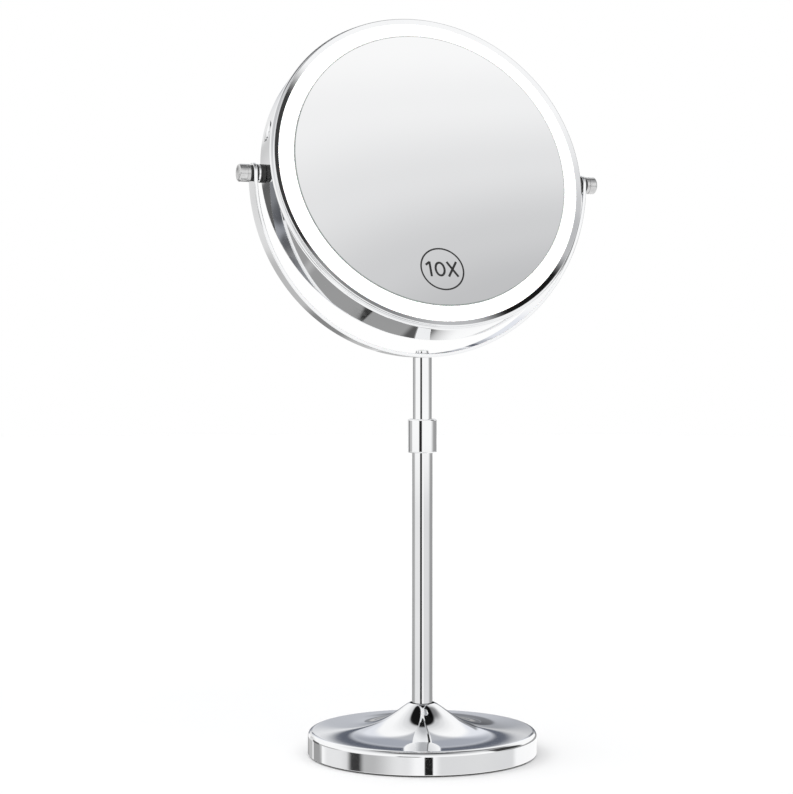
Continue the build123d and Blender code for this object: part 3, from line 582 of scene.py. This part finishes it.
# ---- head shell --------------------------------------------------------------------------------
def cut_out(piece, shape, place, cutters):
    """Cuts holes in a turned piece. Corners on the turned surface keep its normals, and those in the
    holes get their own face's."""
    for cutter in cutters:
        modifier = piece.modifiers.new("cut", "BOOLEAN")
        modifier.operation = "DIFFERENCE"
        modifier.solver = "EXACT"
        modifier.object = cutter
    graph = bpy.context.evaluated_depsgraph_get()
    mesh = bpy.data.meshes.new_from_object(piece.evaluated_get(graph))
    piece.modifiers.clear()
    piece.data = mesh
    for cutter in cutters:
        bpy.data.objects.remove(cutter)
    back = place.inverted()
    turn = place.to_3x3()
    distance_weight = 0.02
    turned_limit = 0.9
    samples = [(point, normal) for point, *pair in shape for normal in pair]
    normals = []
    for face in mesh.polygons:
        flat = (back.to_3x3() @ face.normal).normalized()
        for index in face.vertices:
            spot = back @ mesh.vertices[index].co / MM
            radius = math.hypot(spot.x, spot.y)
            round_x, round_y = spot.x / radius, spot.y / radius
            flat_out = (flat.x * round_x + flat.y * round_y, flat.z)
            best = min(
                samples,
                key=lambda one: math.hypot(one[0][0] - radius, one[0][1] - spot.z) * distance_weight
                + math.hypot(one[1][0] - flat_out[0], one[1][1] - flat_out[1]),
            )
            out, up = best[1]
            normal = Vector((out * round_x, out * round_y, up))
            if normal.dot(flat) < turned_limit:
                normal = flat
            normals.append(turn @ normal)
    mesh.polygons.foreach_set("use_smooth", [True] * len(mesh.polygons))
    mesh.normals_split_custom_set(normals)


def prism(name, half_x, half_y, low, high, place, round_radius, steps=24):
    """Closed cutter with a rounded outline, along its own Z between two heights."""
    points = []
    for index in range(4 * steps):
        turn = 2 * math.pi * (index + 0.5) / (4 * steps)
        x = math.copysign(half_x - round_radius, math.cos(turn)) + round_radius * math.cos(turn)
        y = math.copysign(half_y - round_radius, math.sin(turn)) + round_radius * math.sin(turn)
        points.append((x, y))
    count = len(points)
    mesh = bpy.data.meshes.new(name)
    spots = [place @ (Vector((x, y, z)) * MM) for z in (low, high) for x, y in points]
    faces = [list(range(count))[::-1], list(range(count, 2 * count))]
    for index in range(count):
        follow = (index + 1) % count
        faces.append([index, follow, count + follow, count + index])
    mesh.from_pydata(spots, [], faces)
    cutter = bpy.data.objects.new(name, mesh)
    bpy.context.scene.collection.objects.link(cutter)
    return cutter


def make_band():
    bore = band_radius - band_wall
    shape = outline(
        (bore, -band_rear_edge),
        (band_radius, -band_rear_edge, band_rear_round),
        (band_radius, band_front_edge, band_front_round),
        (bore, band_front_edge),
        steps=8,
    )
    piece = lathe("rim_shell", shape, HEAD, "head", plated, "plated_plastic", "rim_band", count=480)
    beyond = 5
    low, high = bore - beyond, band_radius + beyond
    hole = button_radius + free_gap
    slot_place = HEAD @ SOCKET @ Matrix.Translation((-socket_lift * MM, 0, 0))
    half_high = socket_height / 2 + free_gap
    half_wide = socket_width / 2 + free_gap
    end_round = half_high - 0.1
    cutters = [
        prism("button_hole", hole, hole, low, high, HEAD @ BUTTON, hole),
        prism("socket_slot", half_high, half_wide, low, high, slot_place, end_round),
    ]
    cut_out(piece, shape, HEAD, cutters)
    return piece


def make_bezel(name, node, joint_edge, face, place):
    inner = bezel_radius - bezel_wall
    shape = outline(
        (inner, joint_edge - spigot_depth),
        (spigot_radius, joint_edge - spigot_depth),
        (spigot_radius, joint_edge),
        (bezel_radius, joint_edge),
        (bezel_radius, face, bezel_round),
        (bezel_crest_radius, face, bezel_crest_round),
        (bezel_lip_radius, face - bezel_lip_dip, bezel_lip_round),
        (bezel_lip_radius, face - bezel_lip_wall),
        (inner, face - bezel_lip_wall),
        steps=8,
    )
    return lathe(name, shape, HEAD @ place, "head", plated, "plated_plastic", node, count=480)


def drop(radius, curve):
    """How far a concave glass lies below its own edge at a radius."""
    if curve is None:
        return 0.0
    return math.sqrt(curve**2 - radius**2) - math.sqrt(curve**2 - mirror_radius**2)


def make_light_ring(name, node, place, curve):
    inner = mirror_radius + ring_gap
    outer = bezel_lip_radius - ring_outer_gap
    flange = bezel_radius - bezel_wall - free_gap
    flange_top = bezel_front - bezel_lip_wall - seat_gap
    flange_bottom = flange_top - ring_wall
    seat_inner = inner - seat_width
    under = mirror_front - mirror_thickness - tape_thickness - seat_gap
    seat_back = under - drop(seat_inner, curve)
    ring_edge = bezel_front - ring_edge_drop
    slope = (mirror_front - ring_edge) / (outer - inner)
    crown = []
    crown_steps = 10
    for step in range(1, crown_steps):
        share = step / crown_steps
        height = ring_edge + (mirror_front - ring_edge) * share + ring_bow * math.sin(math.pi * share)
        crown.append((outer + (inner - outer) * share, height, SMOOTH))
    shape = outline(
        (flange, flange_bottom),
        (flange, flange_top),
        (outer, flange_top),
        (outer, ring_edge, ring_outer_round),
        *crown,
        (inner, mirror_front, ring_inner_round),
        (inner, under - drop(inner, curve)),
        (seat_inner, seat_back),
        (seat_inner, seat_back - seat_thickness),
        (inner, seat_back - seat_thickness),
        (inner, led_board_top + seat_gap),
        (inner + ring_wall, led_board_top + seat_gap),
        (inner + ring_wall, mirror_front - slope * ring_wall - ring_wall),
        (outer - ring_wall, ring_edge + slope * ring_wall - ring_wall),
        (outer - ring_wall, flange_bottom),
    )
    return lathe(name, shape, HEAD @ place, "head", frosted, "frosted", node, count=360)


def make_glass(name, node, place, curve):
    """Flat or concave glass with the exact curve's normals and a ground chamfer and edge."""
    back = mirror_front - mirror_thickness
    edge = mirror_radius - mirror_edge_chamfer
    steps = 48
    front, rear = [], []
    for step in range(steps + 1):
        front_out = edge * step / steps
        rear_out = mirror_radius * step / steps
        front.append((front_out, mirror_front - drop(front_out, curve), SMOOTH))
        rear.append((rear_out, back - drop(rear_out, curve), SMOOTH))
    shape = outline(*front, (mirror_radius, mirror_front - mirror_edge_chamfer), *rear[::-1])
    exact = []
    for (radius, height), before, after in shape:
        on_front = abs(height - (mirror_front - drop(radius, curve))) < 1e-6 and radius <= edge
        if on_front:
            lean = radius / curve if curve else 0.0
            normal = unit((-lean, math.sqrt(1 - lean**2)))
            before = normal
            after = after if radius == edge else normal
        exact.append(((radius, height), before, after))
    piece = lathe(name, exact, HEAD @ place, "head", mirror_face, "mirror", node, count=256)
    piece.data.materials.append(ground_glass)
    back_to_face = (HEAD @ place).inverted()
    for face in piece.data.polygons:
        middle = back_to_face @ face.center / MM
        if math.hypot(middle.x, middle.y) > edge:
            face.material_index = 1
    return piece


# ---- magnification mark ------------------------------------------------------------------------
def glass_height(x, y):
    return mirror_front - drop(math.hypot(x, y), mirror_curve)


def ribbon(path, width, closed=False):
    """Thin printed line on the magnifying glass along a path in the face frame."""
    count = len(path)
    sides = []
    for index, here in enumerate(path):
        before = path[index - 1] if index or closed else here
        after = path[(index + 1) % count] if index < count - 1 or closed else here
        along = unit((after[0] - before[0], after[1] - before[1]))
        sides.append((-along[1] * width / 2, along[0] * width / 2))
    points = []
    for (x, y), (side_x, side_y) in zip(path, sides):
        for sign in (1, -1):
            spot = (x + sign * side_x, y + sign * side_y)
            for lift in (mark_lift, mark_sink):
                points.append((*spot, glass_height(*spot) + lift))
    faces = []
    last = count if closed else count - 1
    for index in range(last):
        a, b = 4 * index, 4 * ((index + 1) % count)
        for first, second in ((0, 2), (2, 3), (3, 1), (1, 0)):
            faces.append([a + first, a + second, b + second, b + first])
    if not closed:
        end = 4 * (count - 1)
        faces += [[0, 1, 3, 2], [end, end + 2, end + 3, end + 1]]
    return points, faces


def circle_path(centre, radius_x, radius_y, steps):
    return [
        (
            centre[0] + radius_x * math.cos(2 * math.pi * step / steps),
            centre[1] + radius_y * math.sin(2 * math.pi * step / steps),
        )
        for step in range(steps)
    ]


def make_mark():
    """The figure 10X in a ring, printed on the magnifying glass."""
    low, high = mark_height - digit_half_height, mark_height + digit_half_height
    one_x, flag_x = -8.6, -11.7
    flag_high, flag_low = high - 0.3, high - 2.6
    nought_x, nought_half = -1.6, 3.2
    cross_left, cross_right = 4.0, 11.0
    ring = circle_path((0, mark_height), mark_radius, mark_radius, 120)
    nought = circle_path((nought_x, mark_height), nought_half, digit_half_height - digit_line / 2, 60)
    strokes = (
        (ring, mark_line, True),
        ([(one_x, low), (one_x, high)], digit_line, False),
        ([(one_x, flag_high), (flag_x, flag_low)], digit_line, False),
        (nought, digit_line, True),
        ([(cross_left, low), (cross_right, high)], digit_line, False),
        ([(cross_left, high), (cross_right, low)], digit_line, False),
    )
    points, faces = [], []
    for path, width, closed in strokes:
        part_points, part_faces = ribbon(path, width, closed)
        faces += [[len(points) + corner for corner in face] for face in part_faces]
        points += part_points
    mesh = bpy.data.meshes.new("magnification_mark")
    mesh.from_pydata([HEAD @ (Vector(point) * MM) for point in points], [], faces)
    mesh.materials.append(print_black)
    mark = bpy.data.objects.new("magnification_mark", mesh)
    bpy.context.scene.collection.objects.link(mark)
    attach(mark, "head")
    return mark


# ---- button, washers and knobs -----------------------------------------------------------------
def make_button():
    edge_top = band_radius + button_proud
    bore = band_radius - band_wall
    flange_top = math.sqrt(bore**2 - button_flange_radius**2) - seat_gap
    flange_bottom = flange_top - button_flange_thickness
    sphere = (button_radius**2 + button_dome**2) / (2 * button_dome)
    face_radius = button_radius - button_edge_round
    cap = []
    steps = 16
    for step in range(steps + 1):
        out = face_radius * (1 - step / steps)
        height = edge_top + button_dome - (sphere - math.sqrt(sphere**2 - out**2))
        cap.append((out, height, SMOOTH))
    shape = outline(
        (button_radius, edge_top, button_edge_round),
        *cap,
        (0, button_post_end),
        (button_post_radius, button_post_end),
        (button_post_radius, flange_bottom),
        (button_flange_radius, flange_bottom),
        (button_flange_radius, flange_top),
        (button_radius, flange_top),
        steps=5,
    )
    place = HEAD @ BUTTON
    return lathe(
        "button_cap", shape, place, "power_button", plated, "button_chrome", "power_button", count=96
    )


def make_washers():
    """Washers from the band out to the yoke, and the one under each knob. Gives the knob's face."""
    sides = (HEAD @ LEFT, HEAD @ RIGHT)
    bore = stud_bore + sliding_gap
    radius = washer_radius
    faces = [band_radius + sliding_gap]
    for thickness in (spacer_thickness, rubber_washer_thickness, steel_washer_thickness):
        faces.append(faces[-1] + thickness)
    faces.append(math.sqrt((yoke_radius - yoke_thickness) ** 2 - radius**2) - sliding_gap)
    kinds = (
        ("pivot_spacers", "spacer_pair", black_nylon, "black_nylon", 0.3),
        ("rubber_washers", "rubber_pair", rubber, "rubber", 0.35),
        ("steel_washers", "steel_pair", chrome, "chrome", 0.3),
        ("nylon_washers", "nylon_pair", black_nylon, "black_nylon", 0.12),
    )
    for (node, name, material, slot_name, edge), low, high in zip(kinds, faces, faces[1:]):
        edge = min(edge, (high - low) / 2.2)
        shape = outline((bore, low), (radius, low, edge), (radius, high, edge), (bore, high), steps=4)
        several(name, shape, sides, "head", material, slot_name, node)
    low = yoke_radius + sliding_gap
    knob_face = low + knob_washer_thickness
    high = knob_face - knob_washer_gap
    radius, edge = knob_washer_radius, knob_washer_round
    shape = outline((bore, low), (radius, low, edge), (radius, high, edge), (bore, high), steps=4)
    several("knob_washer_pair", shape, sides, "head", rubber, "rubber", "knob_washers")
    return knob_face


def make_knob(hand, place, face):
    """Thumb nut with a groove and a slightly dished end, its threaded bore blind."""
    end = span("right_knob", "x")[1]
    radius = knob_radius
    groove = radius - knob_groove_depth
    groove_low = face + knob_ring_length
    dish_radius = radius - knob_end_round - knob_dish_margin
    cap = []
    steps = 10
    for step in range(steps + 1):
        share = 1 - step / steps
        cap.append((dish_radius * share, end - knob_dish * math.cos(math.pi / 2 * share), SMOOTH))
    shape = outline(
        (stud_bore, face),
        (radius, face, knob_face_round),
        (radius, groove_low, knob_groove_round),
        (groove, groove_low),
        (groove, groove_low + knob_groove_width),
        (radius, groove_low + knob_groove_width, knob_groove_round),
        (radius, end, knob_end_round),
        *cap,
        (0, knob_bore_end),
        (stud_bore, knob_bore_end),
        steps=6,
    )
    name = hand + "_knob"
    return lathe(hand + "_thumb_nut", shape, place, name, satin, "satin_metal", name, count=96)


# ---- stage -------------------------------------------------------------------------------------
def make_floor():
    """Round sheet of pale paper, just under the foot."""
    count = 96
    edge = circle_path((0, 0), floor_radius, floor_radius, count)
    points = [(x, y, floor_level) for x, y in edge]
    mesh = bpy.data.meshes.new("floor")
    mesh.from_pydata(points, [], [list(range(count))])
    floor = bpy.data.objects.new("floor", mesh)
    bpy.context.scene.collection.objects.link(floor)
    paper = surface(
        "paper", grey(0.93), grey(0.92), (0.8, 0.9), 0.0, 4.0, 300.0, Specular_IOR_Level=0.0
    )
    mesh.materials.append(paper)
    floor.visible_glossy = False
    return floor


def make_camera():
    azimuth = math.radians(camera_azimuth)
    turn = math.radians(camera_turn)
    pitch = math.radians(camera_pitch)
    data = bpy.data.cameras.new("camera")
    data.sensor_width = 36.0
    data.lens = camera_lens
    camera = bpy.data.objects.new("camera", data)
    bpy.context.scene.collection.objects.link(camera)
    camera.location = (
        -camera_distance * math.sin(azimuth), -camera_distance * math.cos(azimuth), camera_height
    )
    camera.rotation_euler = (math.pi / 2 + pitch, 0, turn - azimuth)
    bpy.context.scene.camera = camera
    return camera


def ramp(tree, value, stops):
    """Grey steps over a value from 0 to 1, blended smoothly."""
    node = tree.nodes.new("ShaderNodeValToRGB")
    node.color_ramp.interpolation = "EASE"
    elements = node.color_ramp.elements
    elements[0].position, elements[1].position = stops[0][0], stops[-1][0]
    elements[0].color, elements[1].color = tone(stops[0][1]), tone(stops[-1][1])
    for position, shade in stops[1:-1]:
        elements.new(position).color = tone(shade)
    tree.links.new(value, node.inputs["Fac"])
    return node.outputs["Color"]


def tone(shade, blue=0.03):
    """Neutral at white and black, and slightly blue in between."""
    cool = blue * shade * (1 - shade)
    return (shade - cool * 0.6, shade - cool * 0.15, shade + cool, 1)


def math_node(tree, operation, *values):
    node = tree.nodes.new("ShaderNodeMath")
    node.operation = operation
    for socket, value in zip(node.inputs, values):
        if isinstance(value, (int, float)):
            socket.default_value = value
        else:
            tree.links.new(value, socket)
    return node.outputs["Value"]


def dot(tree, direction, axis):
    node = tree.nodes.new("ShaderNodeVectorMath")
    node.operation = "DOT_PRODUCT"
    node.inputs[1].default_value = axis
    tree.links.new(direction, node.inputs[0])
    return node.outputs["Value"]


def multiply(tree, first, second):
    node = tree.nodes.new("ShaderNodeMix")
    node.data_type = "RGBA"
    node.blend_type = "MULTIPLY"
    node.inputs["Factor"].default_value = 1.0
    tree.links.new(first, node.inputs["A"])
    tree.links.new(second, node.inputs["B"])
    return node.outputs["Result"]


def towards(azimuth, elevation):
    """Direction by its angle to the right of the camera, seen from the object, and its height."""
    turn = math.radians(azimuth - camera_azimuth)
    rise = math.radians(elevation)
    return (math.sin(turn) * math.cos(rise), -math.cos(turn) * math.cos(rise), math.sin(rise))


def fade(tree, value, inside, outside):
    """1 where the value is within inside and 0 beyond outside, with a soft step between."""
    node = tree.nodes.new("ShaderNodeMapRange")
    node.interpolation_type = "SMOOTHSTEP"
    node.inputs["From Min"].default_value = inside
    node.inputs["From Max"].default_value = outside
    node.inputs["To Min"].default_value = 1.0
    node.inputs["To Max"].default_value = 0.0
    tree.links.new(value, node.inputs["Value"])
    return node.outputs["Result"]


def screen(tree, direction, rise, shape):
    """Soft-edged screen of one shade, by its middle's azimuth and elevation and its half sizes."""
    azimuth, elevation, half_wide, half_high, soft_wide, soft_high, shade, blue = shape
    ahead = dot(tree, direction, towards(azimuth, 0))
    aside = dot(tree, direction, towards(azimuth + 90, 0))
    across = math_node(tree, "ABSOLUTE", math_node(tree, "ARCTAN2", aside, ahead))
    up = math_node(tree, "ABSOLUTE", math_node(tree, "SUBTRACT", rise, math.radians(elevation)))
    wide = fade(tree, across, math.radians(half_wide), math.radians(half_wide + soft_wide))
    high = fade(tree, up, math.radians(half_high), math.radians(half_high + soft_high))
    cover = math_node(tree, "MULTIPLY", wide, high)
    return blend_colours(tree, cover, grey(1), tone(shade, blue)[:3])


# Studio screens that the chrome reflects: azimuth and elevation of the middle, half width, half
# height, softness beyond each, all in degrees, then shade and blueness. Overlapping screens darken
# each other. Azimuth is to the right of the camera, seen from the object, as in towards().
screens = (
    (6.5, -14, 3.4, 3, 1.4, 0.3, 0.015, 0),
    (-13, -4, 8, 6.3, 6, 0.4, 0.02, 0),
    (-112, -4, 14, 6.3, 16, 0.4, 0.5, 0),
    (140, -4, 30, 6.3, 40, 0.4, 0.35, 0),
    (0, 72, 55, 8, 25, 6, 0.02, 0),
    (-70, -14, 3.5, 3, 8, 0.3, 0.08, 0),
    (-56, -14, 4, 3, 32, 0.3, 0.6, 0),
    (60, -11, 40, 6, 10, 3, 0.74, 0.02),
    (-62, -11, 46, 6, 12, 3, 0.82, 0.02),
    (-150, -48, 30, 18, 8, 5, 0.33, 0),
    (-130, -19, 8, 6, 4, 5, 0.33, 0),
    (-132, -3, 6.5, 6, 2.5, 4, 0.17, 0),
    (-144, 1, 6, 9, 4, 5, 0.74, 0),
    (-160, 12, 12, 4, 8, 4, 0.84, 0),
    (-148.5, -53.5, 6, 10, 0.4, 0.1, 0.08, 0),
    (-160, -17, 13, 5, 6, 5, 0.5, 0),
    (-164, -17, 3, 4, 5, 4, 0.5, 0),
    (168, 13.5, 3.5, 4.5, 1.5, 2, 0.36, 0),
    (173, 7, 3, 4, 2, 2, 0.66, 0),
    (-178, -38, 2.5, 9, 3, 3, 0.3, 0),
    (97, 23, 16, 17, 8, 7, 0.05, 0),
    (118, 58, 14, 10, 14, 12, 0.36, 0),
    (180, 76, 60, 10, 20, 5, 0.015, 0),
    (180, 40, 3, 24, 3, 4, 0.5, 0.1),
    (180, 13.1, 9, 0.4, 5, 1.5, 0.17, 0.2),
    (180, 19, 12, 3, 8, 7, 0.82, 0.3),
    (180, 5.2, 9, 4.6, 5, 2.0, 0.55, 0.14),
    (177.5, 5, 3.5, 1.6, 1.5, 1.2, 0.42, 0),
    (168, 2.5, 4, 2.5, 5, 3.5, 0.30, 0.2),
    (-168, 2.5, 4, 2.5, 5, 3.5, 0.30, 0.2),
)


# Shades of the upper front that the glasses reflect, by closeness to its darkest direction.
upper_shades = (
    (0.0, 1.0), (0.74, 1.0), (0.77, 0.96), (0.815, 0.89), (0.862, 0.775), (0.903, 0.63), (0.93, 0.54),
    (1.0, 0.50),
)


def make_studio():
    """Plain white studio with screens for the chrome to reflect, and a grey upper front."""
    world = bpy.data.worlds.new("studio")
    bpy.context.scene.world = world
    world.use_nodes = True
    tree = world.node_tree
    background = tree.nodes["Background"]
    direction = tree.nodes.new("ShaderNodeTexCoord").outputs["Generated"]
    rise = math_node(tree, "ARCSINE", dot(tree, direction, (0, 0, 1)))
    upper = math_node(tree, "MULTIPLY_ADD", dot(tree, direction, towards(30, 80)), 0.5, 0.5)
    colour = ramp(tree, upper, upper_shades)
    for one in screens:
        colour = multiply(tree, colour, screen(tree, direction, rise, one))
    tree.links.new(colour, background.inputs["Color"])
    background.inputs["Strength"].default_value = studio_strength
    seen = tree.nodes.new("ShaderNodeBackground")
    seen.inputs["Color"].default_value = (1, 1, 1, 1)
    mix = tree.nodes.new("ShaderNodeMixShader")
    tree.links.new(tree.nodes.new("ShaderNodeLightPath").outputs["Is Camera Ray"], mix.inputs["Fac"])
    tree.links.new(background.outputs["Background"], mix.inputs[1])
    tree.links.new(seen.outputs["Background"], mix.inputs[2])
    tree.links.new(mix.outputs["Shader"], tree.nodes["World Output"].inputs["Surface"])


def make_light():
    """Broad soft light from above. Mirror-like pieces don't show it."""
    data = bpy.data.lights.new("overhead", "SUN")
    data.angle = math.radians(light_spread)
    data.energy = light_energy
    light = bpy.data.objects.new("overhead", data)
    bpy.context.scene.collection.objects.link(light)
    light.rotation_euler = (math.radians(light_lean_back), math.radians(light_lean_left), 0)
    light.visible_glossy = False
    return light


make_base()
make_tube("stem_tube", "outer_tube", "stand")
make_tube("mast_tube", "inner_tube", "mast")
make_collar()
make_yoke()
make_band()
make_bezel("front_trim", "front_bezel", band_front_edge, bezel_front, Matrix())
make_bezel("rear_trim", "rear_bezel", band_rear_edge, bezel_front - rear_shallower, BACK)
make_light_ring("front_glow_ring", "front_light_ring", Matrix(), mirror_curve)
make_light_ring("rear_glow_ring", "rear_light_ring", REAR, None)
make_glass("front_glass", "front_mirror", Matrix(), mirror_curve)
make_glass("rear_glass", "rear_mirror", REAR, None)
make_mark()
make_button()
knob_face = make_washers()
make_knob("left", HEAD @ LEFT, knob_face)
make_knob("right", HEAD @ RIGHT, knob_face)
make_floor()
make_camera()
make_studio()
make_light()
bpy.context.scene.view_settings.view_transform = "Standard"
